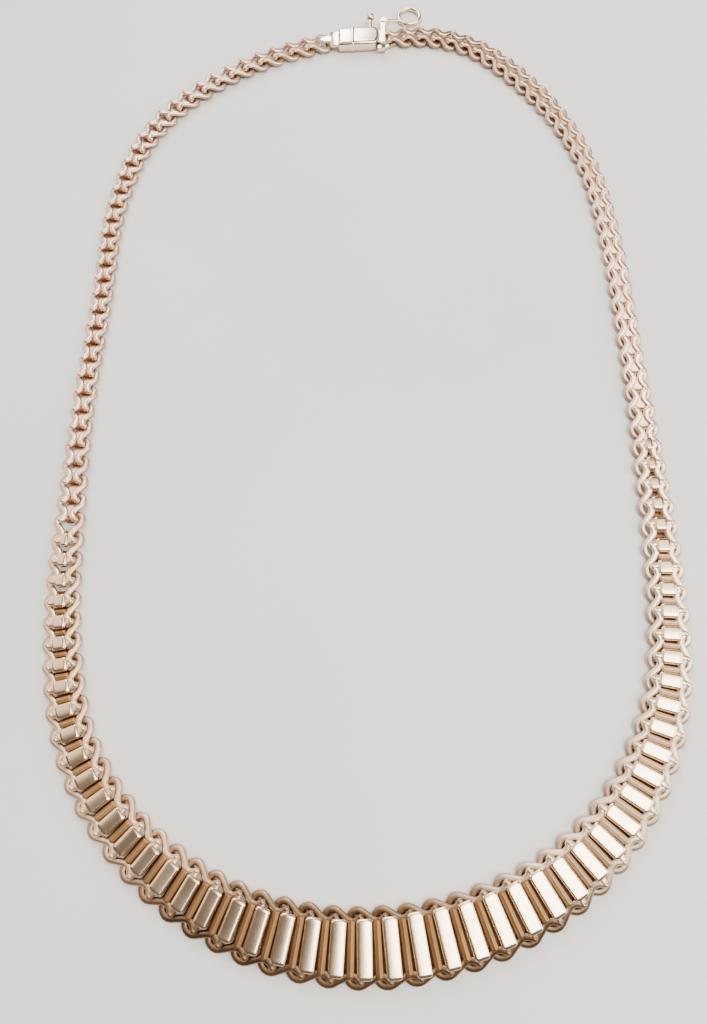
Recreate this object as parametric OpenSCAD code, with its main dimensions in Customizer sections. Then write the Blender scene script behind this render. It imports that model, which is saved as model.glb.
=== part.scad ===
// Graduated collar necklace of flat fancy links with a box clasp, lying flat.
// Millimetres, +Z up, the front of the collar towards -Y and the clasp towards +Y.
// Each link is one soldered solid: two S-shaped edge wires joined by cross bars. It lies over
// the start of the next link and hooks that link's cross bar.

/* [Chain] */
// Width of the front link, edge to edge
front_width = 10.3; // [7:0.1:14]
// Width of the narrowest links, part of the way up the sides
side_width = 4.15; // [4:0.05:5]
// Width of the links beside the clasp
back_width = 4.85; // [4.2:0.05:5]
// How much each link's tail stands above the start of the next link
link_rise = 0.86; // [0.84:0.01:1]

/* [Edge wires] */
// Width of the flat wire
wire_w = 0.85; // [0.7:0.01:0.88]
// Thickness of the flat wire
wire_t = 0.62; // [0.4:0.02:0.64]
// How far the front link's edge wires swing to each side of their row's middle
front_swing = 0.65; // [0.5:0.05:0.7]
// The same for the wires of the links at the sides that have cross bars
side_swing = 0.75; // [0.6:0.05:0.8]
// Radius of the bends, as a share of the link spacing
bend_share = 0.32; // [0.3:0.01:0.34]
// Height of the wire's middle at its start
start_height = 0.46; // [0.44:0.01:0.5]
// Solder bead at the wire's tail, diameter
bead_d = 0.95; // [0.9:0.01:1]

/* [Cross bars] */
// Width of the wide bar
wide_bar_w = 1.95; // [1.6:0.05:2.1]
// Height of the wide bar's crown above the table
wide_bar_top = 2.35; // [2.2:0.05:3]
// Gap between the wide bars and the narrow bar that lies between them
bar_gap = 0.27; // [0.2:0.01:0.4]
// Height of the narrow bar above the table
narrow_bar_top = 1.95; // [1.6:0.05:2.1]
// Narrowest link that still has cross bars
barred_width = 5.1; // [5:0.05:6]

/* [Clasp] */
// Length of the clasp's box
box_l = 8.25; // [7:0.05:10]
// Depth of the box across the chain
box_w = 4.4; // [4.2:0.1:5]
// Height of the box
box_h = 2.2; // [2.1:0.1:3]
// Wall of the box
box_wall = 0.4; // [0.3:0.05:0.45]
// Diameter of the ball that the safety catch snaps over
ball_d = 1.7; // [1.2:0.1:2.2]
// Outer diameter of the safety catch's ring
catch_ring_d = 5; // [4:0.1:5.6]

/* [Show] */
// Sub-part to show

/* [Hidden] */
$fn = 48;

// The way the chain lies. Each row of a table is a stretch of links that share one bend:
// how many links, how far they turn in all, and their spacing.
LINKS = 0;
TURN = 1;
SPACING = 2;
right_side = [
    [6, 25, 3.72],
    [6, 31, 3.66],
    [6, 26, 3.50],
    [6, 5, 3.42],
    [6, 1, 3.34],
    [6, 0, 3.32],
    [6, 6, 3.32],
    [6, 20, 3.26],
    [6, 17, 3.16],
    [7, 56, 3.10]];
left_side = [
    [6, 27, 3.70],
    [6, 26, 3.64],
    [6, 30, 3.52],
    [6, 10, 3.34],
    [6, 1, 3.32],
    [6, 4, 3.28],
    [6, -4, 3.26],
    [6, 17, 3.26],
    [6, 32, 3.10],
    [6, 21, 3.24],
    [4, 10, 3.32]];
last_right = 60;
last_left = 63;
first_right_chained = 20;
first_left_chained = 20;
front_turn = 4.68;
front_spot = [4.095, -82.514];

// How much of the width between the narrowest and the front link is left, by links from the front.
taper = [
    [0, 1], [4, 0.95], [8, 0.82], [12, 0.64], [16, 0.46], [20, 0.35], [24, 0.25], [28, 0.106], [32, 0]];
// How much of the width that the links gain again towards the clasp.
regain = [[44, 0], [52, 1]];

// Places along the spacing, counted from a link's crest.
barred_dip = 0.8;
narrow_dip = 0.71;
start_place = -bend_share;
front_wide_bar = 1.27;
side_wide_bar = 1.08;
narrow_bar_back = 1.5;
hook_place = 0.9;
joint_place = 1.12;
tail_sweep = 62;

// Over how many links the swing, the bars' inset and the wide bar's place change from the front.
swing_links = 8;
place_from = 4;
place_links = 16;

// Sizes across and up a link.
front_inset = 2.3;
side_inset = 4;
limb_l = 1;
tie_w = 0.81;
tie_t = 0.48;
wires_apart = 0.1;
dip_room = 0.13;
shortest_tall_bar = 0.6;
foot_w = 2;
foot_h = 0.5;
foot_inset = 2.6;
plate_low = 1.64;
plate_edge = 0.08;
plate_corner = 0.38;
crown_steps = 6;
narrow_crown = 0.5;
rib_low = 0.7;
rib_w = 1.1;
under_lap = 0.3;
bar_wire = 0.58;
joint_in = 1.1;
joint_lap = 0.08;
bend_steps = 5;
bead_h = 0.7;
barred_bead_sides = 10;
narrow_bead_sides = 24;
hook_t = 0.55;
hook_w = 0.7;
hook_low = 0.3;
hook_top = 1.5;
bridge_h = 0.56;

// Clasp, measured along its own axis from the last right-hand link's hold.
plate_x = 1.8;
plate_t = 0.8;
plate_w = 5;
plate_h = 2.5;
mouth_gap = 0.25;
box_x = plate_x + plate_t + mouth_gap;
box_end_r = 3.2;
fit_gap = 0.2;
band_x = 7.9;
band_w = 0.75;
band_proud = 0.14;
mouth_open = 1;
strap_w = 3.6;
strap_clear = 0.6;
ball_at = [4.7, -4.9, 1.7];
neck_d = 0.9;
leaf_t = 0.25;
leaf_l = 6.4;
thumb_at = [1.8, 2.38, 0.7];
thumb_size = [1.4, 0.65, 0.9];
gusset_bar = 0.34;
gusset_frame = 0.1;
gusset_end = [2.2, 4.6];
gusset_hole = [1.2, 3.4];
lug_w = 0.9;
peg_d = 0.5;
peg_head_d = 1;
peg_head_h = 0.25;
eye_at = [2, -3.85, 1.4];
eye_r = 0.7;
eye_wire_d = 0.6;
stem_d = 0.56;
ring_at = [-3.1, -6.1, 0.43];
ring_wire_d = 0.84;
slack = 0.15;

gold = [0.86, 0.66, 0.42];
rose_gold = [0.80, 0.56, 0.38];
pale_gold = [0.93, 0.80, 0.60];

// How far each link of a side turns, and its spacing.
function bends(rows) =
    [for (row = rows) for (i = [1:row[LINKS]]) [row[TURN] / row[LINKS], row[SPACING]]];

function walk(bend_list, side, i = 0, turned = 0, at = front_spot) =
    let (here = [at.x, at.y, front_turn + side * turned])
    i == len(bend_list) ? [here] :
    let (heading = front_turn + side * (turned + bend_list[i][0] / 2))
    let (next = at + side * bend_list[i][1] * [cos(heading), sin(heading)])
    concat([here], walk(bend_list, side, i + 1, turned + bend_list[i][0], next));

right_spots = walk(bends(right_side), 1);
left_spots = walk(bends(left_side), -1);

// x, y and heading at any place along the chain; the front link is 0, right-hand places are positive.
function whole_spot(k) = k >= 0 ? right_spots[k] : left_spots[-k];
function spot(place) =
    let (k = floor(place))
    whole_spot(k) + (place - k) * (whole_spot(k + 1) - whole_spot(k));

function flat(v) = [v.x, v.y];
function spacing_at(k) = norm(flat(whole_spot(k + 1)) - flat(whole_spot(k)));
function turn_at(k) = whole_spot(k + 1)[2] - whole_spot(k)[2];
function in_radians(angle) = angle * PI / 180;
function between(from, to, share) = from + (to - from) * max(0, min(share, 1));

// Widths and places of a link's parts, which change along the chain.
function width_at(k) =
    side_width + (front_width - side_width) * lookup(abs(k), taper)
    + (back_width - side_width) * lookup(abs(k), regain);
function barred(k) = width_at(k) >= barred_width;
function swing_at(k) =
    barred(k) ? between(front_swing, side_swing, abs(k) / swing_links)
              : (width_at(k) - wires_apart) / 4 - wire_w / 2;
function row_at(k) = (width_at(k) - wire_w) / 2 - swing_at(k);
function dip_at(k) = barred(k) ? barred_dip : narrow_dip;
function middle_at(k) = dip_at(k) / 2;
function wide_place(k) = between(front_wide_bar, side_wide_bar, (abs(k) - place_from) / place_links);
function wide_bar_l(k) = width_at(k) - between(front_inset, side_inset, abs(k) / swing_links);

// The narrow bar stands between the dips of the link before, and so does the rib that hooks it.
function room_in(k) = width_at(k) - 4 * swing_at(k) - 2 * wire_w - 2 * dip_room;
function narrow_bar_l(k) = min(room_in(k), room_in(k - 1));
function narrow_bar_w(k) = spacing_at(k) - wide_bar_w - 2 * bar_gap;
function two_bars(k) = barred(k) && barred(k - 1) && narrow_bar_l(k) > shortest_tall_bar;

module at_place(place) {
    here = spot(place);
    translate([here.x, here.y, 0])
        rotate([0, 0, here[2]])
            children();
}

module rod(from, to, d) {
    way = to - from;
    translate(from)
        rotate([0, acos(way.z / norm(way)), atan2(way.y, way.x)])
            cylinder(h = norm(way), d = d);
}

// A closed ring of wire, lying flat.
module wire_ring(r, d) {
    rotate_extrude()
        translate([r, 0])
            circle(d = d);
}

function on_arc(centre, r, from, to) =
    [for (i = [0:bend_steps])
        let (angle = from + (to - from) * i / bend_steps)
        centre + r * [cos(angle), sin(angle)]];

// A point beside a line of points, square to the way that its neighbours lie.
function beside(line, i, out) =
    let (way = line[min(i + 1, len(line) - 1)] - line[max(i - 1, 0)])
    line[i] + out / norm(way) * [-way.y, way.x];

// Outline of flat wire bent along a line of points.
module bent_outline(line, w) {
    last = len(line) - 1;
    polygon(concat([for (i = [0:last]) beside(line, i, w / 2)],
                   [for (i = [0:last]) beside(line, last - i, -w / 2)]));
}

// Outline of a bend in flat wire.
module bend_outline(centre, r, from, sweep) {
    translate(centre)
        intersection() {
            difference() {
                circle(r = r + wire_w / 2);
                circle(r = r - wire_w / 2);
            }
            polygon([[0, 0],
                     for (i = [0:3]) 2 * r * [cos(from + sweep * i / 3), sin(from + sweep * i / 3)]]);
        }
}

// Outline of a straight stretch of flat wire, lapped a little into what it joins.
module straight_outline(from, to, w) {
    way = (to - from) / norm(to - from);
    side = w / 2 * [-way.y, way.x];
    lap = joint_lap * way;
    polygon([from + side - lap, from - side - lap, to - side + lap, to + side + lap]);
}

// One S-shaped edge wire in its own plane, crest towards +Y, the middle of its slope at the origin.
// The wire of a link with bars is stepped round its bends and runs on to the wide bar.
module edge_wire(k, pitch) {
    r = bend_share * pitch;
    crest = [-middle_at(k) * pitch, swing_at(k) - r];
    dip = -crest;
    lean = asin(2 * r / norm(dip - crest)) - atan2(dip.y - crest.y, dip.x - crest.x);
    off = r * [sin(lean), cos(lean)];
    tail = dip + r * [cos(270 + tail_sweep), sin(270 + tail_sweep)];
    start = [crest.x - r, -min(row_at(k), limb_l)];
    joint = [(max(joint_place, wide_place(k)) - middle_at(k)) * pitch, -joint_in];
    translate([0, 0, -wire_t / 2])
        linear_extrude(wire_t)
            if (barred(k))
                bent_outline(concat([start],
                                    on_arc(crest, r, 180, 90 - lean),
                                    on_arc(dip, r, 270 - lean, 270 + tail_sweep)), wire_w);
            else {
                straight_outline(start, crest - [r, 0], wire_w);
                bend_outline(crest, r, 90 - lean, 90 + lean);
                straight_outline(crest + off, dip - off, wire_w);
                bend_outline(dip, r, 270 - lean, lean + tail_sweep);
            }
    translate([tail.x, tail.y, -bead_h / 2])
        cylinder(h = bead_h, d = bead_d, $fn = barred(k) ? barred_bead_sides : narrow_bead_sides);
    if (barred(k))
        translate([0, 0, -bar_wire / 2])
            linear_extrude(bar_wire)
                straight_outline(tail, joint, bar_wire);
}

// Both edge wires of a link, rising towards the tail. Links with bars fan out where the chain turns.
module edge_wires(k) {
    row = row_at(k);
    fan = barred(k) ? in_radians(turn_at(k)) * row : 0;
    for (side = [1, -1]) {
        level_pitch = spacing_at(k) - side * fan;
        tilt = atan(link_rise / level_pitch);
        translate([0, side * row, start_height + link_rise * (middle_at(k) - start_place)])
            rotate([0, -tilt, 0])
                mirror([0, side > 0 ? 0 : 1, 0])
                    edge_wire(k, level_pitch / cos(tilt));
    }
}

// Section of a bar: straight sides up to the edge, then a crown that falls away in steps.
module crowned_section(w, low, edge, top) {
    polygon([[w / 2, low],
             for (i = [0:crown_steps])
                 [w / 2 * cos(180 * i / crown_steps), edge + (top - edge) * sin(180 * i / crown_steps)],
             [-w / 2, low]]);
}

module lying_bar(length) {
    translate([0, length / 2, 0])
        rotate([90, 0, 0])
            linear_extrude(length)
                children();
}

module block(w, l, low, top) {
    translate([-w / 2, -l / 2, low])
        cube([w, l, top - low]);
}

module narrow_bar(k) {
    block(foot_w, min(width_at(k), width_at(k - 1)) - foot_inset, 0, foot_h);
    lying_bar(narrow_bar_l(k))
        crowned_section(narrow_bar_w(k), 0, narrow_bar_top - narrow_crown, narrow_bar_top);
}

module cut_corners(w, l, c) {
    polygon([for (end = [-1, 1]) each [
        [end * w / 2, end * (c - l / 2)], [end * w / 2, end * (l / 2 - c)],
        [end * (w / 2 - c / 3), end * (l / 2 - c / 3)], [end * (w / 2 - c), end * l / 2],
        [end * (c - w / 2), end * l / 2], [end * (c / 3 - w / 2), end * (l / 2 - c / 3)]]]);
}

// Wide bar with what hooks the next link under it: a rib behind a narrow bar, or else a hook
// behind a cross wire.
module wide_bar(k) {
    length = wide_bar_l(k);
    intersection() {
        lying_bar(length)
            crowned_section(wide_bar_w, plate_low, plate_low + plate_edge, wide_bar_top);
        linear_extrude(2 * wide_bar_top)
            cut_corners(wide_bar_w, length, plate_corner);
    }
    if (two_bars(k + 1))
        block(rib_w, narrow_bar_l(k + 1), rib_low, plate_low + under_lap);
    else
        block(hook_t, hook_w, hook_low, plate_low + under_lap);
}

// Wire across a link's start, where there is no narrow bar.
module cross_wire(k) {
    translate([(start_place - middle_at(k)) * spacing_at(k), 0, 0])
        block(tie_w, 2 * row_at(k), start_height - tie_t / 2, start_height + tie_t / 2);
}

// Bridge where a narrow link's two dips meet, and the hook that reaches down from it behind
// the next link's cross wire.
module bridge_and_hook(k) {
    pitch = spacing_at(k);
    bridge_w = 2 * (row_at(k) - swing_at(k));
    dip_x = (dip_at(k) - middle_at(k)) * pitch;
    hook_x = (hook_place - middle_at(k)) * pitch;
    dip_z = start_height + link_rise * (dip_at(k) - start_place);
    translate([dip_x - tie_w / 2, -bridge_w / 2, dip_z - bridge_h / 2])
        cube([hook_x - dip_x + tie_w / 2 + hook_t, bridge_w, bridge_h]);
    translate([hook_x, -hook_w / 2, hook_low])
        cube([hook_t, hook_w, hook_top - hook_low]);
}

module link(k) {
    color(barred(k) ? gold : rose_gold) {
        at_place(k + middle_at(k)) {
            edge_wires(k);
            if (!two_bars(k))
                cross_wire(k);
            if (!barred(k))
                bridge_and_hook(k);
        }
        if (two_bars(k))
            at_place(k + wide_place(k) - narrow_bar_back)
                narrow_bar(k);
        if (barred(k))
            at_place(k + wide_place(k))
                wide_bar(k);
    }
}

module left_chain() {
    for (k = [first_left_chained:last_left])
        link(-k);
}

module right_chain() {
    for (k = [first_right_chained:last_right])
        link(k);
}

// The clasp's own frame: +X from the last right-hand link to the last left-hand one, +Y inwards.
clasp_from = spot(last_right + 1 + start_place);
clasp_to = spot(-last_left + start_place);
clasp_way = flat(clasp_to) - flat(clasp_from);
clasp_l = norm(clasp_way);

module in_clasp() {
    translate([clasp_from.x, clasp_from.y, 0])
        rotate([0, 0, atan2(clasp_way.y, clasp_way.x)])
            children();
}

// Plan of the box: its mouth, towards the end plate, is bowed.
module box_outline() {
    intersection() {
        translate([0, -box_w / 2])
            square([box_l, box_w]);
        translate([box_end_r, 0])
            union() {
                circle(r = box_end_r);
                translate([0, -box_end_r])
                    square([box_l, 2 * box_end_r]);
            }
    }
}

module clasp_box() {
    hook_x = clasp_l + (hook_place - 1 - start_place) * spacing_at(-last_left);
    strap_z = start_height + link_rise * (narrow_dip - start_place);
    strap_from = box_x + box_l - slack;
    mouth_w = box_w - 2 * box_wall - 2 * fit_gap;
    color(pale_gold)
        in_clasp() {
            difference() {
                union() {
                    translate([box_x, 0, 0])
                        linear_extrude(box_h)
                            box_outline();
                    translate([band_x, -box_w / 2 - band_proud, 0])
                        cube([band_w, box_w + 2 * band_proud, box_h + band_proud]);
                }
                translate([box_x - mouth_open, -mouth_w / 2, box_wall])
                    cube([box_l + mouth_open - box_wall, mouth_w, box_h - 2 * box_wall]);
            }
            // strap over the last left-hand link's start, and the hook that holds it
            translate([strap_from, -strap_w / 2, strap_z - bridge_h / 2])
                cube([clasp_l - strap_clear - strap_from, strap_w, bridge_h]);
            translate([strap_from, -hook_w, strap_z - bridge_h / 2])
                cube([hook_x + hook_t - strap_from, 2 * hook_w, bridge_h]);
            translate([hook_x, -hook_w / 2, hook_low])
                cube([hook_t, hook_w, strap_z - hook_low]);
            rod([ball_at.x, -box_w / 2 + box_wall / 2, ball_at.z - neck_d / 2], ball_at, neck_d);
            translate(ball_at)
                sphere(d = ball_d);
        }
}

// Plan that widens from one end to the other.
module tapered_plan(from, to, widths) {
    polygon([[from, -widths[0] / 2], [from, widths[0] / 2], [to, widths[1] / 2], [to, -widths[1] / 2]]);
}

module clasp_tongue() {
    leaf_w = box_w - 2 * box_wall - 4 * fit_gap;
    leaf_from = plate_x + plate_t - slack;
    leaf_low = box_wall + fit_gap;
    leaf_top = box_h - box_wall - fit_gap;
    lug_top = eye_at.z - eye_wire_d / 2 - slack;
    peg_head_low = eye_at.z + eye_wire_d / 2 + slack;
    color(gold)
        in_clasp() {
            // end plate
            translate([plate_x, -plate_w / 2, 0])
                cube([plate_t, plate_w, plate_h]);
            // spring tongue, folded back on itself inside the box
            translate([leaf_from, leaf_w / 2, 0])
                rotate([90, 0, 0])
                    linear_extrude(leaf_w) {
                        translate([0, leaf_low])
                            square([leaf_l, leaf_t]);
                        translate([0, leaf_top - leaf_t])
                            square([leaf_l, leaf_t]);
                        translate([leaf_l - leaf_t, leaf_low])
                            square([leaf_t, leaf_top - leaf_low]);
                    }
            // thumb tab beside the box
            translate(thumb_at)
                cube(thumb_size);
            // gusset that holds the last right-hand link
            translate([0, 0, start_height - wire_t / 2])
                linear_extrude(wire_t)
                    difference() {
                        tapered_plan(-gusset_bar, plate_x + slack, gusset_end);
                        tapered_plan(gusset_bar, plate_x + gusset_frame, gusset_hole);
                    }
            // lug and peg for the safety catch
            translate([eye_at.x - lug_w / 2, eye_at.y - lug_w / 2, 0])
                cube([lug_w, -eye_at.y + lug_w / 2 - plate_w / 2 + slack, lug_top]);
            translate([eye_at.x, eye_at.y, lug_top - slack])
                cylinder(h = peg_head_low - lug_top + 2 * slack, d = peg_d);
            translate([eye_at.x, eye_at.y, peg_head_low])
                cylinder(h = peg_head_h, d = peg_head_d);
        }
}

module safety_catch() {
    ring_r = (catch_ring_d - ring_wire_d) / 2;
    way = [ring_at.x - eye_at.x, ring_at.y - eye_at.y, 0];
    toward = way / norm(way);
    color(pale_gold)
        in_clasp() {
            translate(eye_at)
                wire_ring(eye_r, eye_wire_d);
            translate(ring_at)
                wire_ring(ring_r, ring_wire_d);
            rod(eye_at + eye_r * toward, ring_at - ring_r * toward, stem_d);
        }
}

link(-19);  // link_left_19
link(-18);  // link_left_18
link(-17);  // link_left_17
link(-16);  // link_left_16
link(-15);  // link_left_15
link(-14);  // link_left_14
link(-13);  // link_left_13
link(-12);  // link_left_12
link(-11);  // link_left_11
link(-10);  // link_left_10
link(-9);  // link_left_09
link(-8);  // link_left_08
link(-7);  // link_left_07
link(-6);  // link_left_06
link(-5);  // link_left_05
link(-4);  // link_left_04
link(-3);  // link_left_03
link(-2);  // link_left_02
link(-1);  // link_left_01
link(0);  // link_front
link(1);  // link_right_01
link(2);  // link_right_02
link(3);  // link_right_03
link(4);  // link_right_04
link(5);  // link_right_05
link(6);  // link_right_06
link(7);  // link_right_07
link(8);  // link_right_08
link(9);  // link_right_09
link(10);  // link_right_10
link(11);  // link_right_11
link(12);  // link_right_12
link(13);  // link_right_13
link(14);  // link_right_14
link(15);  // link_right_15
link(16);  // link_right_16
link(17);  // link_right_17
link(18);  // link_right_18
link(19);  // link_right_19
left_chain();
right_chain();
clasp_box();
clasp_tongue();
safety_catch();
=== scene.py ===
import math

import bmesh
import bpy
from mathutils import Matrix, Vector


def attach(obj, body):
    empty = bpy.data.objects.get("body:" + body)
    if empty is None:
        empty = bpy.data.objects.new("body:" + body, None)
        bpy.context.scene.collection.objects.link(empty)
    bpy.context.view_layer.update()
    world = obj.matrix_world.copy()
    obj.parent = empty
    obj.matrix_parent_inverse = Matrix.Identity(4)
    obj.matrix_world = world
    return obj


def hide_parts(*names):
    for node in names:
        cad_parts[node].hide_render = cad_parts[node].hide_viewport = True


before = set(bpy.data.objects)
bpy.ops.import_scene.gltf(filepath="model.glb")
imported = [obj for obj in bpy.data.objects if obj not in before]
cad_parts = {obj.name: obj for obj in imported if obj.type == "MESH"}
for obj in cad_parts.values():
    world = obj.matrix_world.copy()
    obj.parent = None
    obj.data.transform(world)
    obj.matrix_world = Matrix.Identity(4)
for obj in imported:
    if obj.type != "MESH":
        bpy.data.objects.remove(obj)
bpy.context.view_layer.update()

MM = 0.001

# ---------------------------------------------------------------- the lay of the chain
# Sizes are in mm. Places along the chain are in links from the front one, + to the right.
# Each row is a stretch of links that share one bend: links, turn in degrees, spacing.
RIGHT_SIDE = [(6, 25, 3.72), (6, 31, 3.66), (6, 26, 3.50), (6, 5, 3.42), (6, 1, 3.34),
              (6, 0, 3.32), (6, 6, 3.32), (6, 20, 3.26), (6, 17, 3.16), (7, 56, 3.10)]
LEFT_SIDE = [(6, 27, 3.70), (6, 26, 3.64), (6, 30, 3.52), (6, 10, 3.34), (6, 1, 3.32),
             (6, 4, 3.28), (6, -4, 3.26), (6, 17, 3.26), (6, 32, 3.10), (6, 21, 3.24),
             (4, 10, 3.32)]
LAST_RIGHT, LAST_LEFT = 60, 63
FRONT_TURN = 4.68
FRONT_SPOT = (4.095, -82.514)
FRONT_WIDTH, SIDE_WIDTH, BACK_WIDTH = 10.3, 4.15, 4.85
BARRED_WIDTH = 5.1  # a link at least this wide has cross bars

# Tables of what changes along the chain. Each row: links from the front, value there. The width
# is given as shares of what the front has more than the sides, and the back more than they.
WIDTH_KEPT = [(0, 1), (4, 0.95), (8, 0.82), (12, 0.64), (16, 0.46), (20, 0.35), (24, 0.25),
              (28, 0.106), (32, 0)]
WIDTH_REGAINED = [(44, 0), (52, 1)]
BARRED_SWING = [(0, 0.65), (8, 0.75)]
WIDE_PLACE = [(4, 1.27), (20, 1.08)]
WIDE_SHORTER = [(0, 2.3), (8, 4.0)]
CAP_SHORTER = [(0, 2.9), (10, 4.3)]

# The edge wires: section, bend radius and start in links, and the share of a link from one bend
# to the next. A link rises evenly from its start, and the next one lies on it.
WIRE_W, WIRE_T, WIRE_EDGE = 1.0, 0.62, 0.21
BEND, START = 0.36, -0.34
BARRED_DIP, NARROW_DIP = 0.8, 0.71
LINK_RISE, START_HEIGHT = 0.86, 0.46
TAIL_SWEEP = 62  # degrees that the last bend turns past the links' cross line
BAR_JOINT = (1.17, -1.1)  # where a barred link's wire meets its wide bar: links along, mm across
ROWS_APART = 0.04  # between the two wires of a narrow link
BEAD = 0.95

# The cross bars: gaps, and places in links.
BAR_TO_WIRES, SHORTEST_BAR = 0.26, 0.6
BARS_APART = 1.5
FOOT_SHORTER = 2.6
HOOK = 0.9
HOOK_PLACE = HOOK + 0.08
HOOK_L, SHORT_HOOK_L = 1.1, 0.7
BRIDGE_PLACE, BRIDGE_LONGER = 0.42, 0.5


def walk(rows, side):
    """Places of the links one after another, as x, y and heading in degrees."""
    x, y, heading = *FRONT_SPOT, FRONT_TURN
    places = [(x, y, heading)]
    for links, turn, spacing in rows:
        for _ in range(links):
            step = side * turn / links
            way = math.radians(heading + step / 2)
            x += side * spacing * math.cos(way)
            y += side * spacing * math.sin(way)
            heading += step
            places.append((x, y, heading))
    return places


RIGHT_PLACES, LEFT_PLACES = walk(RIGHT_SIDE, 1), walk(LEFT_SIDE, -1)


def link_place(k):
    return RIGHT_PLACES[k] if k >= 0 else LEFT_PLACES[-k]


def place(at):
    """x, y and heading at any place along the chain."""
    k = math.floor(at)
    a, b = link_place(k), link_place(k + 1)
    return tuple(p + (at - k) * (q - p) for p, q in zip(a, b))


def beside(spot, along, across):
    """A point along and to the left of a place's heading."""
    c, s = math.cos(math.radians(spot[2])), math.sin(math.radians(spot[2]))
    return spot[0] + along * c - across * s, spot[1] + along * s + across * c


def spacing(k):
    a, b = link_place(k), link_place(k + 1)
    return math.hypot(b[0] - a[0], b[1] - a[1])


def graded(table, k):
    """What a table gives for a link."""
    at = abs(k)
    for (x0, y0), (x1, y1) in zip(table, table[1:]):
        if at <= x1:
            return y0 + (y1 - y0) * max(0, (at - x0) / (x1 - x0))
    return table[-1][1]


def link_width(k):
    return (SIDE_WIDTH + (FRONT_WIDTH - SIDE_WIDTH) * graded(WIDTH_KEPT, k)
            + (BACK_WIDTH - SIDE_WIDTH) * graded(WIDTH_REGAINED, k))


def barred(k):
    return link_width(k) >= BARRED_WIDTH


def swing(k):
    """How far a link's edge wires swing to each side of their row's middle."""
    if barred(k):
        return graded(BARRED_SWING, k)
    return (link_width(k) - ROWS_APART) / 4 - WIRE_W / 2


def row_offset(k):
    return (link_width(k) - WIRE_W) / 2 - swing(k)


def dip(k):
    return BARRED_DIP if barred(k) else NARROW_DIP


def wide_place(k):
    return graded(WIDE_PLACE, k)


def wide_length(k):
    return link_width(k) - graded(WIDE_SHORTER, k)


def narrow_place(k):
    return wide_place(k) - BARS_APART


def room(k):
    """The length between a link's edge wires that a bar can fill."""
    return link_width(k) - 4 * swing(k) - 2 * WIRE_W - BAR_TO_WIRES


def narrow_bar_length(k):
    return min(room(k), room(k - 1))


def narrow_width(k):
    """The lesser width of a link and the one before it, which its narrow bar lies across."""
    return min(link_width(k), link_width(k - 1))


def two_bars(k):
    return barred(k) and barred(k - 1) and narrow_bar_length(k) > SHORTEST_BAR


# Links with a node each, to both sides of the front one. The others are in the side chains.
NAMED = 19
FRONT_LINKS = list(range(-NAMED, NAMED + 1))
LEFT_LINKS = list(range(-LAST_LEFT, -NAMED))
RIGHT_LINKS = list(range(NAMED + 1, LAST_RIGHT + 1))
FRONT_NODES = (["link_left_%02d" % n for n in range(1, NAMED + 1)] + ["link_front"]
               + ["link_right_%02d" % n for n in range(1, NAMED + 1)])
# Each row: name, links, the CAD nodes that they replace, material slot.
GROUPS = [("front", FRONT_LINKS, FRONT_NODES, "front_gold"),
          ("left", LEFT_LINKS, ["left_chain"], "side_gold"),
          ("right", RIGHT_LINKS, ["right_chain"], "side_gold")]


# ---------------------------------------------------------------- node trees
class Nodes:
    """Lays out the nodes of a tree. An input takes a value or another node's output."""

    def __init__(self, tree):
        self.tree = tree

    def add(self, kind, settings=None, **inputs):
        n = self.tree.nodes.new(kind)
        for key, value in (settings or {}).items():
            setattr(n, key, value)
        for key, value in inputs.items():
            self.feed(n, key.replace("_", " "), value)
        return n

    def feed(self, n, key, value):
        if isinstance(value, bpy.types.NodeSocket):
            self.tree.links.new(value, n.inputs[key])
        else:
            n.inputs[key].default_value = value

    def combine(self, kind, operation, *values):
        """A node that works out something from its values in their order."""
        n = self.add(kind, {"operation": operation})
        for index, value in enumerate(values):
            self.feed(n, index, value)
        return n

    def reckon(self, operation, *values):
        return self.combine("ShaderNodeMath", operation, *values).outputs[0]


# ---------------------------------------------------------------- finishes
class Recipe(Nodes):
    """The nodes of one material."""

    def __init__(self, name):
        self.material = bpy.data.materials.new(name)
        self.material.use_nodes = True
        super().__init__(self.material.node_tree)
        self.tree.nodes.clear()
        self.out = self.add("ShaderNodeOutputMaterial")
        self.spot = self.add("ShaderNodeTexCoord").outputs["Object"]

    def noise(self, spot, scale, detail, roughness=0.5):
        return self.add("ShaderNodeTexNoise", Vector=spot, Scale=scale, Detail=detail,
                        Roughness=roughness).outputs["Fac"]

    def mix_colour(self, share, a, b):
        m = self.add("ShaderNodeMix", {"data_type": "RGBA"})
        for index, value in ((0, share), (6, a), (7, b)):
            self.feed(m, index, value)
        return m.outputs[2]

    def ranged(self, value, low, high, to_low=0.0, to_high=1.0):
        n = self.add("ShaderNodeMapRange", {"interpolation_type": "SMOOTHSTEP"})
        for index, number in enumerate((value, low, high, to_low, to_high)):
            self.feed(n, index, number)
        return n.outputs[0]

    def done(self, skin):
        self.feed(self.out, "Surface", skin.outputs[0])
        return self.material


SCRATCH_DEPTH = 0.02
LOW_DARKENING_DULLS = 0.16  # what the darkening low down adds to the roughness
HAIR_TURN, HAIR_STRETCH = 0.6, 9.0


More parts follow.
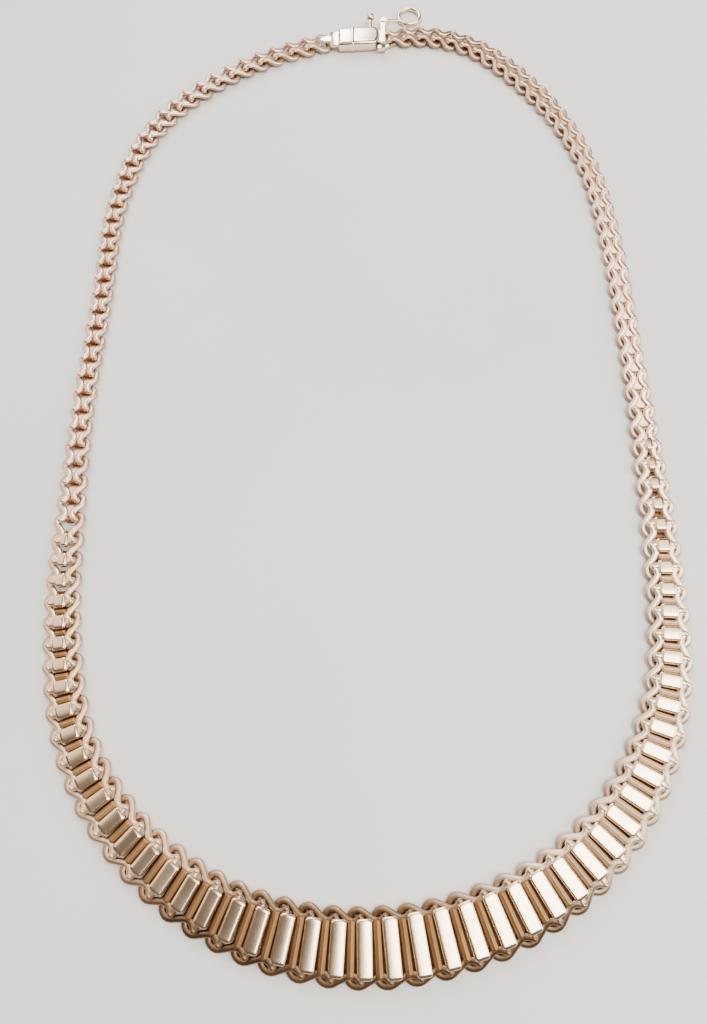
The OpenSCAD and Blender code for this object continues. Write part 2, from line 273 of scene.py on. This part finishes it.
def gold(name, bright, deep, low_tone, rough, low_heights=(0.2, 1.5), scratch=0.10, painted_light_and_shade=()):
    """Polished gold in clouds of a bright and a deep tone, darker low down and fading out between
    the two given heights, with a roughness that goes from patch to patch between two values, and
    with fine scratches. The last argument lists painted light, shade and reflection on sides of
    the collar, each with its colour, its share, the way it grows and the two distances between which it
    comes in."""
    r = Recipe(name)
    height = r.add("ShaderNodeSeparateXYZ", Vector=r.spot).outputs[2]
    clouds = r.noise(r.spot, scale=420.0, detail=4.0, roughness=0.6)
    patches = r.noise(r.spot, scale=95.0, detail=3.0, roughness=0.55)
    fine = r.noise(r.spot, scale=3800.0, detail=3.0, roughness=0.65)
    turned = r.add("ShaderNodeMapping", Vector=r.spot, Rotation=(0, 0, HAIR_TURN),
                   Scale=(1.0, HAIR_STRETCH, 1.0)).outputs[0]
    hairs = r.noise(turned, scale=1500.0, detail=2.0, roughness=0.6)
    colour = r.mix_colour(r.ranged(clouds, 0.35, 0.68), (*bright, 1), (*deep, 1))
    # Darker and rougher low down, fading out between the two given heights, in patches.
    low = r.ranged(height, low_heights[0] * MM, low_heights[1] * MM, 1.0, 0.0)
    low_darkening = r.reckon("MULTIPLY", low, r.ranged(patches, 0.25, 0.6, 0.55, 1.0))
    # Painted light, shade and reflection: each side's colour is mixed in between its two distances.
    for tone, share, way, start, end in painted_light_and_shade:
        reach = r.combine("ShaderNodeVectorMath", "DOT_PRODUCT", r.spot, way).outputs["Value"]
        side = r.ranged(reach, start * MM, end * MM, 0.0, share)
        colour = r.mix_colour(side, colour, (*tone, 1))
    colour = r.mix_colour(low_darkening, colour, (*low_tone, 1))
    worn = r.reckon("MULTIPLY_ADD", low_darkening, LOW_DARKENING_DULLS, r.ranged(patches, 0.3, 0.7, *rough))
    bump = r.add("ShaderNodeBump", Strength=scratch, Distance=SCRATCH_DEPTH * MM,
                 Height=r.reckon("ADD", fine, hairs)).outputs[0]
    return r.done(r.add("ShaderNodeBsdfPrincipled", Base_Color=colour, Roughness=worn, Normal=bump,
                        Metallic=1.0))


# Painted light, shade and reflection on sides of the collar, each as colour, share, the way it grows
# and the distances in mm between which it comes in: the right side is painted paler as lamp light, the
# front painted brown as shadow, the left back painted pale and the right back painted a darker olive as
# reflections of the room.
TO_FRONT, TO_RIGHT = (0, -1, 0), (1, 0, 0)
TO_LEFT_BACK, TO_RIGHT_BACK = (-0.707, 0.707, 0), (0.707, 0.707, 0)
PAINTED_LIGHT_RIGHT_WIRES = ((1.0, 0.84, 0.64), 0.65, TO_RIGHT, 8, 32)
PAINTED_SHADE_FRONT_WIRES = ((0.17, 0.10, 0.05), 0.92, TO_FRONT, 70, 80)
PAINTED_REFLECTION_LEFT_BACK = ((0.96, 0.93, 0.90), 0.6, TO_LEFT_BACK, 62, 82)
PAINTED_REFLECTION_RIGHT_BACK = ((0.40, 0.33, 0.20), 0.5, TO_RIGHT_BACK, 50, 85)
PAINTED_LIGHT_RIGHT_BARS = ((0.94, 0.74, 0.54), 0.75, TO_RIGHT, 18, 38)
PAINTED_SHADE_FRONT_BARS = ((0.18, 0.09, 0.04), 0.65, TO_FRONT, 60, 80)

# Edge wires of the barred links: painted paler towards the right as lamp light and painted dark brown
# at the front as shadow.
WIRE_GOLD = gold("rose gold edge wire", bright=(0.94, 0.70, 0.49), deep=(0.85, 0.59, 0.38),
                 low_tone=(0.22, 0.12, 0.05), rough=(0.34, 0.46),
                 painted_light_and_shade=(PAINTED_LIGHT_RIGHT_WIRES, PAINTED_SHADE_FRONT_WIRES))
# Wires of the narrow links: painted pale at the left back and a darker olive at the right back as
# reflections of the room.
SIDE_GOLD = gold("narrow link wire", bright=(0.96, 0.74, 0.57), deep=(0.89, 0.63, 0.46),
                 low_tone=(0.30, 0.15, 0.07), rough=(0.32, 0.44),
                 painted_light_and_shade=(PAINTED_REFLECTION_LEFT_BACK, PAINTED_REFLECTION_RIGHT_BACK))
WIDE_GOLD = gold("polished wide bar", bright=(0.96, 0.77, 0.56), deep=(0.92, 0.71, 0.49),
                 low_tone=(0.34, 0.18, 0.08), rough=(0.16, 0.23), scratch=0.015)
# The narrow bars' dark base colour is painted shade from the wide bars beside them; they are also
# painted paler to the right as lamp light and darker at the front as shadow. Their satin finish is the
# real roughness.
NARROW_GOLD = gold("satin narrow bar", bright=(0.50, 0.31, 0.15), deep=(0.40, 0.24, 0.11),
                   low_tone=(0.18, 0.09, 0.04), rough=(0.46, 0.58),
                   painted_light_and_shade=(PAINTED_LIGHT_RIGHT_BARS, PAINTED_SHADE_FRONT_BARS))
# Hidden ribs, feet, hooks and cross wires are dark gold as painted shade, so that the holes between the
# wires look shadowed.
HIDDEN_GOLD = gold("tarnished underside", bright=(0.34, 0.17, 0.08), deep=(0.25, 0.11, 0.05),
                   low_tone=(0.13, 0.05, 0.02), rough=(0.42, 0.55))
CLASP_GOLD = gold("polished clasp", bright=(0.95, 0.82, 0.66), deep=(0.90, 0.74, 0.56),
                  low_tone=(0.40, 0.25, 0.14), rough=(0.18, 0.27), low_heights=(0.0, 1.0), scratch=0.02)
CATCH_GOLD = gold("catch wire", bright=(0.92, 0.79, 0.62), deep=(0.84, 0.67, 0.48),
                  low_tone=(0.40, 0.25, 0.14), rough=(0.20, 0.32), low_heights=(0.0, 0.5), scratch=0.06)


# ---------------------------------------------------------------- shapes used again and again
def show(name, data):
    piece = bpy.data.objects.new(name, data)
    bpy.context.scene.collection.objects.link(piece)
    return piece


def face_outwards(mesh):
    b = bmesh.new()
    b.from_mesh(mesh)
    bmesh.ops.recalc_face_normals(b, faces=b.faces)
    b.to_mesh(mesh)
    b.free()


SHARP_FROM = math.radians(38)


def loft(name, rings, ends=None):
    """A closed form through rings of points, with flat caps. ends says for each ring to which
    side it moves, 1 or -1, when the form is drawn out to its length."""
    mesh = bpy.data.meshes.new(name)
    n = len(rings[0])
    verts = [Vector(p) * MM for ring in rings for p in ring]
    faces = []
    for i in range(len(rings) - 1):
        for j in range(n):
            a, b = i * n + j, i * n + (j + 1) % n
            faces.append((a, b, b + n, a + n))
    faces.append(tuple(reversed(range(n))))
    faces.append(tuple(range((len(rings) - 1) * n, len(rings) * n)))
    mesh.from_pydata(verts, [], faces)
    face_outwards(mesh)
    mesh.polygons.foreach_set("use_smooth", [True] * len(mesh.polygons))
    mesh.set_sharp_from_angle(angle=SHARP_FROM)
    if ends:
        mark = mesh.attributes.new("end", "FLOAT", "POINT")
        mark.data.foreach_set("value", [e for e in ends for _ in range(n)])
    return mesh


def crowned(w, low, top, edge, crown):
    """Section of a bar as x, z: upright sides, rounded shoulders and a softly crowned top."""
    half, flat, steps = w / 2, w / 2 - edge, 4
    points = [(-half, low)]
    for i in range(steps + 1):
        a = math.radians(90 * i / steps)
        points.append((-half + edge * (1 - math.cos(a)), top - crown - edge * (1 - math.sin(a))))
    points += [(flat * x, top - crown * x * x) for x in (-0.75, -0.5, -0.25)]
    return points + [(0, top)] + [(-x, z) for x, z in reversed(points)]


def rod(half_w, half_h, middle):
    """Section of a bar as x, z: an eight-sided oval."""
    turns = [math.radians(45 * i) for i in range(8)]
    return [(half_w * math.cos(a), middle + half_h * math.sin(a)) for a in turns]


def bar(name, section, rounding, drop=0.0, low_z=0.0):
    """A bar that lies along Y about the origin. Its ends are rounded in plan, and what is above
    low_z falls away there by the drop."""
    half = max(x for x, z in section)
    top = max(z for x, z in section)
    rings, ends = [], []
    steps = 4
    for end in (-1, 1):
        stations = range(steps + 1) if end < 0 else range(steps, -1, -1)
        for i in stations:
            a = math.radians(90 * i / steps)
            across = 1 - (1 - math.sin(a)) * rounding / half
            y = end * rounding * (math.cos(a) - 1)
            fall = (1 - math.sin(a)) * drop
            rings.append([(x * across, y, z - fall * max(0, (z - low_z) / (top - low_z)))
                          for x, z in section])
            ends.append(end)
    return loft(name, rings, ends)


WIDE_BAR_W, WIDE_BAR_LOW = 2.16, 1.5
NARROW_BAR_W = 1.2  # as formed; at its place each one is fitted to the links' spacing
NARROW_BAR_LOW = 0.3
GAP_OF_BARS = 0.2
HOOK_LOW, RIB_LOW = 0.3, 0.7
FORMS = {
    "wide_bars": bar("wide bar", crowned(WIDE_BAR_W, WIDE_BAR_LOW, top=2.36, edge=0.32, crown=0.025),
                     rounding=0.46, drop=0.2, low_z=WIDE_BAR_LOW),
    "narrow_bars": bar("narrow bar",
                       crowned(NARROW_BAR_W, NARROW_BAR_LOW, top=2.05, edge=0.36, crown=0.12),
                       rounding=0.3, drop=0.2, low_z=NARROW_BAR_LOW),
    "bar_ribs": bar("rib under the wide bar", crowned(1.1, RIB_LOW, top=1.8, edge=0.06, crown=0.02),
                    rounding=0.1, low_z=RIB_LOW),
    "bar_feet": bar("foot of the narrow bar", crowned(2.0, 0.0, top=0.5, edge=0.12, crown=0.04),
                    rounding=0.2),
    "cross_wires": bar("cross wire", rod(0.52, 0.29, START_HEIGHT), rounding=0.05),
    "hooks": bar("hook", crowned(0.7, HOOK_LOW, top=1.5, edge=0.12, crown=0.05),
                 rounding=0.12, drop=0.05, low_z=HOOK_LOW),
    "bridges": bar("bridge between the dips", crowned(2.3, -0.34, top=0.02, edge=0.1, crown=0.04),
                   rounding=0.3),
}
FORMS = {name: show(name + "_form", mesh) for name, mesh in FORMS.items()}


def wire_line(name, pitch, sway, limb_end, dip_share, to_bar):
    """The line that an edge wire follows in its own plane, crest towards +Y, for a spacing and a
    swing of one, and the place of its tail. It starts limb_end to the other side of its row."""
    steps = 6
    r = BEND * pitch
    crest = Vector((-dip_share * pitch / 2, sway - r))
    low = -crest
    gap = low - crest
    lean = math.asin(2 * r / gap.length) - math.atan2(gap.y, gap.x)
    points = [Vector((crest.x - r, -limb_end))]
    for i in range(steps + 1):
        a = math.pi - (math.pi / 2 + lean) * i / steps
        points.append(crest + r * Vector((math.cos(a), math.sin(a))))
    for i in range(steps + 1):
        a = math.radians(270) - lean + (lean + math.radians(TAIL_SWEEP)) * i / steps
        points.append(low + r * Vector((math.cos(a), math.sin(a))))
    tail = points[-1]
    edges = [(i, i + 1) for i in range(len(points) - 1)]
    if to_bar:
        along, across = BAR_JOINT
        edges.append((len(points), len(points) + 1))
        points += [tail, Vector(((along - dip_share / 2) * pitch, across))]
    mesh = bpy.data.meshes.new(name)
    mesh.from_pydata([(p.x * MM / pitch, p.y * MM / sway, 0) for p in points], edges, [])
    return mesh, (tail.x / pitch, tail.y / sway)


# The two kinds of edge wire, by whether the link has bars.
barred_line, barred_tail = wire_line("barred link's wire line", pitch=3.8, sway=0.72, limb_end=1.0,
                                     dip_share=BARRED_DIP, to_bar=True)
plain_line, plain_tail = wire_line("narrow link's wire line", pitch=3.35, sway=0.65, limb_end=0.95,
                                   dip_share=NARROW_DIP, to_bar=False)
LINES = {True: show("barred_line", barred_line), False: show("plain_line", plain_line)}
TAILS = {True: barred_tail, False: plain_tail}


# ---------------------------------------------------------------- what sets out the repeats
class Layout(Nodes):
    """A geometry node tree with named sizes, run over places."""

    def __init__(self, name, **sizes):
        super().__init__(bpy.data.node_groups.new(name, "GeometryNodeTree"))
        self.tree.interface.new_socket(name="Geometry", in_out="OUTPUT",
                                       socket_type="NodeSocketGeometry")
        self.size("Places", "NodeSocketGeometry")
        for title, value in sizes.items():
            self.size(title.replace("_", " "), "NodeSocketFloat", value)
        self.size("Finish", "NodeSocketMaterial")
        self.inlet = self.add("NodeGroupInput")
        self.outlet = self.add("NodeGroupOutput")

    def size(self, name, kind, value=None):
        socket = self.tree.interface.new_socket(name=name, in_out="INPUT", socket_type=kind)
        if value is not None:
            socket.default_value = value

    def given(self, name):
        return self.inlet.outputs[name]

    def named(self, name, kind="FLOAT_VECTOR"):
        """A value that the places carry."""
        n = self.add("GeometryNodeInputNamedAttribute", {"data_type": kind}, Name=name)
        return n.outputs["Attribute"]

    def spread(self, form):
        """Sets a form at every place, turned and stretched as the place says."""
        source = self.add("GeometryNodeObjectInfo", Object=form).outputs["Geometry"]
        turn = self.add("FunctionNodeEulerToRotation", Euler=self.named("turn")).outputs[0]
        laid = self.add("GeometryNodeInstanceOnPoints", Points=self.given("Places"),
                        Instance=source, Rotation=turn, Scale=self.named("stretch"))
        return self.add("GeometryNodeRealizeInstances", Geometry=laid.outputs[0]).outputs[0]

    def close(self, geometry):
        done = self.add("GeometryNodeSetMaterial", Geometry=geometry, Material=self.given("Finish"))
        self.tree.links.new(done.outputs[0], self.outlet.inputs[0])
        return self.tree


def wire_layout():
    """Bends a wire of round-edged section along a line set at every place."""
    t = Layout("edge wires along the chain", Wire_width=WIRE_W * MM, Wire_thickness=WIRE_T * MM,
               Edge_rounding=WIRE_EDGE * MM)
    t.size("Line", "NodeSocketObject")
    lines = t.add("GeometryNodeMeshToCurve", Mesh=t.spread(t.given("Line"))).outputs[0]
    lines = t.add("GeometryNodeSetCurveNormal", {"mode": "Z_UP"}, Curve=lines).outputs[0]
    flat = t.add("GeometryNodeCurvePrimitiveQuadrilateral", Width=t.given("Wire width"),
                 Height=t.given("Wire thickness")).outputs[0]
    section = t.add("GeometryNodeFilletCurve", {"mode": "POLY"}, Curve=flat,
                    Radius=t.given("Edge rounding"), Count=1).outputs[0]
    wire = t.add("GeometryNodeCurveToMesh", Curve=lines, Profile_Curve=section,
                 Fill_Caps=True).outputs[0]
    return t.close(t.add("GeometryNodeSetShadeSmooth", Geometry=wire).outputs[0])


def bar_layout():
    """Sets a bar at every place and draws its two ends out to the length that the place says."""
    t = Layout("cross bars along the chain")
    t.size("Bar", "NodeSocketObject")
    bars = t.spread(t.given("Bar"))
    reach = t.reckon("MULTIPLY", t.named("end", "FLOAT"), t.named("half_length", "FLOAT"))
    out = t.add("ShaderNodeVectorMath", {"operation": "SCALE"}, Vector=t.named("across"),
                Scale=reach).outputs[0]
    return t.close(t.add("GeometryNodeSetPosition", Geometry=bars, Offset=out).outputs[0])


def bead_layout():
    """Sets a solder bead at every place."""
    t = Layout("solder beads at the wire tails", Bead_radius=BEAD / 2 * MM)
    ball = t.add("GeometryNodeMeshUVSphere", Segments=8, Rings=5,
                 Radius=t.given("Bead radius")).outputs[0]
    laid = t.add("GeometryNodeInstanceOnPoints", Points=t.given("Places"), Instance=ball)
    plain = t.add("GeometryNodeRealizeInstances", Geometry=laid.outputs[0]).outputs[0]
    return t.close(t.add("GeometryNodeSetShadeSmooth", Geometry=plain).outputs[0])


wire_tree, bar_tree, bead_tree = wire_layout(), bar_layout(), bead_layout()

# What a place may ask of its form.
ASKED = {"turn": "FLOAT_VECTOR", "stretch": "FLOAT_VECTOR", "across": "FLOAT_VECTOR",
         "half_length": "FLOAT"}


def places_mesh(name, spots):
    """Points that carry what each one asks of its form."""
    mesh = bpy.data.meshes.new(name)
    mesh.from_pydata([Vector(s["at"]) * MM for s in spots], [], [])
    for key, kind in ASKED.items():
        if key not in spots[0]:
            continue
        layer = mesh.attributes.new(key, kind, "POINT")
        for item, s in zip(layer.data, spots):
            if kind == "FLOAT":
                item.value = s[key]
            else:
                item.vector = s[key]
    return mesh


def finish(piece, nodes):
    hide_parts(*nodes)
    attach(piece, "root")


def forge(name, spots, tree, settings, nodes):
    """Runs a layout over its places and keeps the result as one plain piece."""
    holder = show(name + "_places", places_mesh(name + " places", spots))
    step = holder.modifiers.new("layout", "NODES")
    step.node_group = tree
    for item in tree.interface.items_tree:
        if item.item_type == "SOCKET" and item.in_out == "INPUT" and item.name in settings:
            step[item.identifier] = settings[item.name]
    bpy.context.view_layer.update()
    graph = bpy.context.evaluated_depsgraph_get()
    mesh = bpy.data.meshes.new_from_object(holder.evaluated_get(graph), depsgraph=graph)
    holder.modifiers.clear()
    bpy.data.objects.remove(holder)
    mesh.name = name
    face_outwards(mesh)
    for layer in [a.name for a in mesh.attributes if a.name in ASKED or a.name == "end"]:
        mesh.attributes.remove(mesh.attributes[layer])
    finish(show(name, mesh), nodes)


# ---------------------------------------------------------------- the links
def edge_spots(links):
    """Where each link's two edge wires lie, and the tail of each."""
    wires, tails = [], []
    for k in links:
        row, gap, sway = row_offset(k), spacing(k), swing(k)
        turn = math.radians(link_place(k + 1)[2] - link_place(k)[2])
        fan = turn * row if barred(k) else 0
        spot = place(k + dip(k) / 2)
        middle_z = START_HEIGHT + LINK_RISE * (dip(k) / 2 - START)
        for side in (1, -1):
            level = gap - side * fan
            tilt = math.atan(LINK_RISE / level)
            x, y = beside(spot, 0, side * row)
            wires.append({"link": k, "at": (x, y, middle_z),
                          "turn": (0, -tilt, math.radians(spot[2])),
                          "stretch": (level / math.cos(tilt), side * sway, 1)})
            tail_x, tail_y = TAILS[barred(k)]
            tx, ty = beside(spot, tail_x * level, side * (row + tail_y * sway))
            tails.append({"at": (tx, ty, middle_z + tail_x * LINK_RISE)})
    return wires, tails


def bar_spots(links, at, length, low=0, girth=None, sloped=False):
    """Where bars lie across the chain, level or in the slope of their own link."""
    spots = []
    for k in links:
        spot = place(k + at(k))
        heading = math.radians(spot[2])
        slope = math.atan(LINK_RISE / spacing(k)) if sloped else 0
        spots.append({"at": (spot[0], spot[1], low), "turn": (0, -slope, heading),
                      "stretch": (girth(k) if girth else 1, 1, 1),
                      "across": (-math.sin(heading), math.cos(heading), 0),
                      "half_length": length(k) / 2 * MM})
    return spots


def lay(group, name, links, at, length, metal, form=None, **more):
    """Lays the bars of one kind on those links of a group that have them."""
    if links:
        title, _, nodes, slot = group
        forge(title + "_" + name, bar_spots(links, at, length, **more), bar_tree,
              {"Bar": FORMS[form or name], "Finish": metal}, nodes)


def narrow_girth(k):
    return (spacing(k) - (WIDE_BAR_W + 2 * GAP_OF_BARS)) / NARROW_BAR_W


for group in GROUPS:
    title, links, nodes, slot = group
    wires, tails = edge_spots(links)
    for name, with_bars, metal in (("edge_wires", True, WIRE_GOLD),
                                   ("narrow_edge_wires", False, SIDE_GOLD)):
        laid = [s for s in wires if barred(s["link"]) == with_bars]
        if laid:
            forge(title + "_" + name, laid, wire_tree,
                  {"Line": LINES[with_bars], "Wire width": WIRE_W * MM,
                   "Wire thickness": WIRE_T * MM, "Edge rounding": WIRE_EDGE * MM,
                   "Finish": metal}, nodes)
    forge(title + "_tail_beads", tails, bead_tree,
          {"Bead radius": BEAD / 2 * MM, "Finish": WIRE_GOLD}, nodes)

    bars = [k for k in links if barred(k)]
    narrow = [k for k in links if not barred(k)]
    double = [k for k in links if two_bars(k)]
    single = [k for k in links if not two_bars(k)]
    ribbed = [k for k in bars if two_bars(k + 1)]
    hooked = [k for k in bars if not two_bars(k + 1)]
    lay(group, "wide_bars", bars, wide_place, wide_length, WIDE_GOLD)
    lay(group, "narrow_bars", double, narrow_place,
        lambda k: narrow_width(k) - graded(CAP_SHORTER, k), NARROW_GOLD, girth=narrow_girth)
    lay(group, "bar_ribs", ribbed, wide_place, lambda k: narrow_bar_length(k + 1), HIDDEN_GOLD)
    lay(group, "bar_feet", double, narrow_place, lambda k: narrow_width(k) - FOOT_SHORTER,
        HIDDEN_GOLD)
    lay(group, "cross_wires", single, lambda k: START, lambda k: 2 * row_offset(k), HIDDEN_GOLD)
    lay(group, "bar_hooks", hooked, wide_place, lambda k: SHORT_HOOK_L, HIDDEN_GOLD, form="hooks")
    lay(group, "hooks", narrow, lambda k: HOOK_PLACE, lambda k: HOOK_L, HIDDEN_GOLD)
    lay(group, "bridges", narrow, lambda k: BRIDGE_PLACE,
        lambda k: 2 * (row_offset(k) - swing(k)) + BRIDGE_LONGER, SIDE_GOLD,
        low=START_HEIGHT + LINK_RISE * (BRIDGE_PLACE - START), sloped=True)

for form in [*LINES.values(), *FORMS.values()]:
    bpy.data.objects.remove(form)


# ---------------------------------------------------------------- the clasp
# It is laid out along its own X, from the right-hand chain to the left-hand one. HOLD is the
# place of a link by which it holds either end of the chain.
HOLD = -0.32
clasp_from, clasp_to = place(LAST_RIGHT + 1 + HOLD), place(-LAST_LEFT + HOLD)
clasp_run = (clasp_to[0] - clasp_from[0], clasp_to[1] - clasp_from[1])
clasp_l = math.hypot(*clasp_run)
IN_CLASP = (Matrix.Translation((clasp_from[0] * MM, clasp_from[1] * MM, 0))
            @ Matrix.Rotation(math.atan2(clasp_run[1], clasp_run[0]), 4, "Z"))
hook_x = clasp_l + (HOOK - 1 - HOLD) * spacing(-LAST_LEFT)

BOX_X, BOX_L, BOX_W, BOX_H, MOUTH_R = 2.85, 8.25, 4.4, 2.2, 3.2
box_end = BOX_X + BOX_L
# Height, inset of the box's plan.
BODY = [(0, 0.4), (0.1, 0.14), (0.3, 0.02), (1.6, 0.0), (1.9, 0.05), (2.06, 0.17), (2.15, 0.36),
        (BOX_H, 0.7)]
# Place along, how far the band stands out from the box.
BAND = [(7.9, -0.1), (7.92, 0.06), (8.05, 0.14), (8.5, 0.14), (8.63, 0.06), (8.65, -0.1)]
BAND_LOW = 0.02
STRAP_HALF, STRAP_LOW, STRAP_TOP = 1.8, 1.07, 1.63
# Place along, how far the strap is drawn in.
STRAP = [(box_end - 0.2, 0), (clasp_l - 0.75, 0), (clasp_l - 0.6, 0.1)]
# Place along, half width, underside.
TONGUE = [(clasp_l - 0.9, 0.7, 1.08), (hook_x - 0.02, 0.7, 1.08), (hook_x, 0.36, 0.32),
          (hook_x + 0.55, 0.34, 0.32)]
TONGUE_TOP = 1.62
KNOB_X, KNOB_Y, KNOB_Z, KNOB_R = 4.7, -4.9, 1.7, 0.85
# Place across, height, radius of the knob's neck, and the knob's flat tip.
NECK = [(-2.1, 1.3, 0.5), (-2.4, 1.32, 0.45), (-3.2, 1.45, 0.4), (-3.8, 1.58, 0.42)]
KNOB_TIP = (-5.74, KNOB_Z, 0.1)


def box_ring(z, inset):
    """Plan of the box at one height: a bowed mouth and two square corners at the far end."""
    half, near, far = BOX_W / 2 - inset, BOX_X + inset, box_end - inset
    middle, corner, turn = (near + far) / 2, 0.3, 0.09
    mouth = [(near + MOUTH_R - math.sqrt(MOUTH_R ** 2 - y * y), y)
             for y in [half * (1 - 0.2 * i) for i in range(11)]]
    lower = [(middle, -half), (far - corner, -half), (far - turn, turn - half), (far, corner - half)]
    upper = [(x, -y) for x, y in reversed(lower)]
    return [(x, y, z) for x, y in mouth + lower + upper]


def rounded_ring(x, half_y, low, top, edge):
    """Upright section across the clasp's axis with rounded corners."""
    ring = []
    for cy, cz, start in ((half_y - edge, top - edge, 0), (edge - half_y, top - edge, 90),
                          (edge - half_y, low + edge, 180), (half_y - edge, low + edge, 270)):
        for turn in (0, 30, 60, 90):
            a = math.radians(start + turn)
            ring.append((x, cy + edge * math.cos(a), cz + edge * math.sin(a)))
    return ring


def turned_ring(y, z, r):
    """Round section of the knob and its neck, which stand out along the clasp's Y."""
    turns = [math.radians(a) for a in range(0, 360, 20)]
    return [(KNOB_X + r * math.cos(a), y, z + r * math.sin(a)) for a in turns]


def ball_rings():
    turns = [math.radians(a) for a in reversed(range(25, 180, 15))]
    return [turned_ring(KNOB_Y + KNOB_R * math.cos(a), KNOB_Z, KNOB_R * math.sin(a)) for a in turns]


def clasp_piece(name, rings):
    mesh = loft(name, rings)
    mesh.transform(IN_CLASP)
    mesh.materials.append(CLASP_GOLD)
    finish(show(name, mesh), ["clasp_box"])


clasp_piece("box_body", [box_ring(z, inset) for z, inset in BODY])
clasp_piece("box_band", [rounded_ring(x, BOX_W / 2 + out, BAND_LOW, BOX_H + out, 0.4)
                         for x, out in BAND])
clasp_piece("box_strap", [rounded_ring(x, STRAP_HALF - g, STRAP_LOW + g, STRAP_TOP - g, 0.12)
                          for x, g in STRAP])
clasp_piece("strap_tongue", [rounded_ring(x, half, low, TONGUE_TOP, 0.1)
                             for x, half, low in TONGUE])
clasp_piece("ball_and_neck", [turned_ring(*row) for row in NECK] + ball_rings()
            + [turned_ring(*KNOB_TIP)])

# CAD pieces of the clasp keep their shape and take the finish of the real ones.
for node, metal in (("clasp_tongue", CLASP_GOLD), ("safety_catch", CATCH_GOLD)):
    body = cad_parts[node]
    body.data.materials.clear()
    body.data.materials.append(metal)

# ---------------------------------------------------------------- table, light and camera
TABLE_HALF = 1.2
CORNERS = [(-1, -1), (1, -1), (1, 1), (-1, 1)]
table = bpy.data.meshes.new("table")
table.from_pydata([(TABLE_HALF * x, TABLE_HALF * y, 0) for x, y in CORNERS], [], [(0, 1, 2, 3)])
floor = show("floor", table)
paint = Recipe("pale table")
mottle = paint.ranged(paint.noise(paint.spot, scale=14.0, detail=3.0), 0.3, 0.7)
tone = paint.mix_colour(mottle, (0.80, 0.80, 0.79, 1), (0.86, 0.86, 0.85, 1))
floor.data.materials.append(paint.done(paint.add("ShaderNodeBsdfPrincipled", Base_Color=tone,
                                                 Roughness=0.6)))

world = bpy.data.worlds.new("studio")
world.use_nodes = True
studio = world.node_tree.nodes["Background"]
studio.inputs["Color"].default_value = (0.52, 0.44, 0.38, 1)
studio.inputs["Strength"].default_value = 0.32
bpy.context.scene.world = world

# Each row: name, place, what it faces, its two sides in metres, watts, colour.
LAMPS = [
    ("overhead softbox", (0.195, -0.10, 0.62), (0.195, -0.10, 0), (0.43, 0.32), 4.9, (1.0, 0.96, 0.89)),
    ("second softbox", (0.195, 0.16, 0.62), (0.195, 0.16, 0), (0.43, 0.20), 0.75, (1.0, 0.82, 0.69)),
    ("left panel", (-0.58, 0.34, 0.45), (0, 0, 0), (0.7, 1.14), 4.4, (1.0, 0.83, 0.71)),
    ("far window", (-0.14, 0.74, 0.56), (-0.05, 0.05, 0), (0.30, 0.5), 6.5, (0.97, 0.98, 1.0)),
    ("right fill", (0.64, -0.10, 0.42), (0.03, -0.02, 0), (0.5, 0.5), 4.8, (1.0, 0.95, 0.87)),
]
for name, at, towards, sides, power, colour in LAMPS:
    data = bpy.data.lights.new(name, "AREA")
    data.shape = "RECTANGLE"
    data.size, data.size_y = sides
    data.energy = power
    data.color = colour
    lamp = show(name, data)
    lamp.location = at
    lamp.rotation_euler = (Vector(towards) - Vector(at)).to_track_quat("-Z", "Y").to_euler()

# The camera's place and turn were worked out from the lay of the collar in the photograph.
CAMERA_AT = Vector((6.808, -61.445, 121.96)) * MM
TILT, ROLL = math.radians(19), math.radians(10.5)
SENSOR, FOCAL_PIXELS, PHOTO_PIXELS = 24, 800, 1024
right = Vector((math.cos(ROLL), math.sin(ROLL), 0))
ahead = Vector((-math.sin(ROLL), math.cos(ROLL), 0))
up = math.cos(TILT) * ahead + math.sin(TILT) * Vector((0, 0, 1))
forward = math.sin(TILT) * ahead - math.cos(TILT) * Vector((0, 0, 1))
right, up = (math.cos(ROLL) * right - math.sin(ROLL) * up,
             math.sin(ROLL) * right + math.cos(ROLL) * up)
lens = bpy.data.cameras.new("camera")
lens.sensor_fit = "VERTICAL"
lens.sensor_height = SENSOR
lens.lens = SENSOR * FOCAL_PIXELS / PHOTO_PIXELS
lens.clip_start = 0.002
camera = show("camera", lens)
camera.matrix_world = Matrix((*zip(right, up, -forward, CAMERA_AT), (0, 0, 0, 1)))
bpy.context.scene.camera = camera
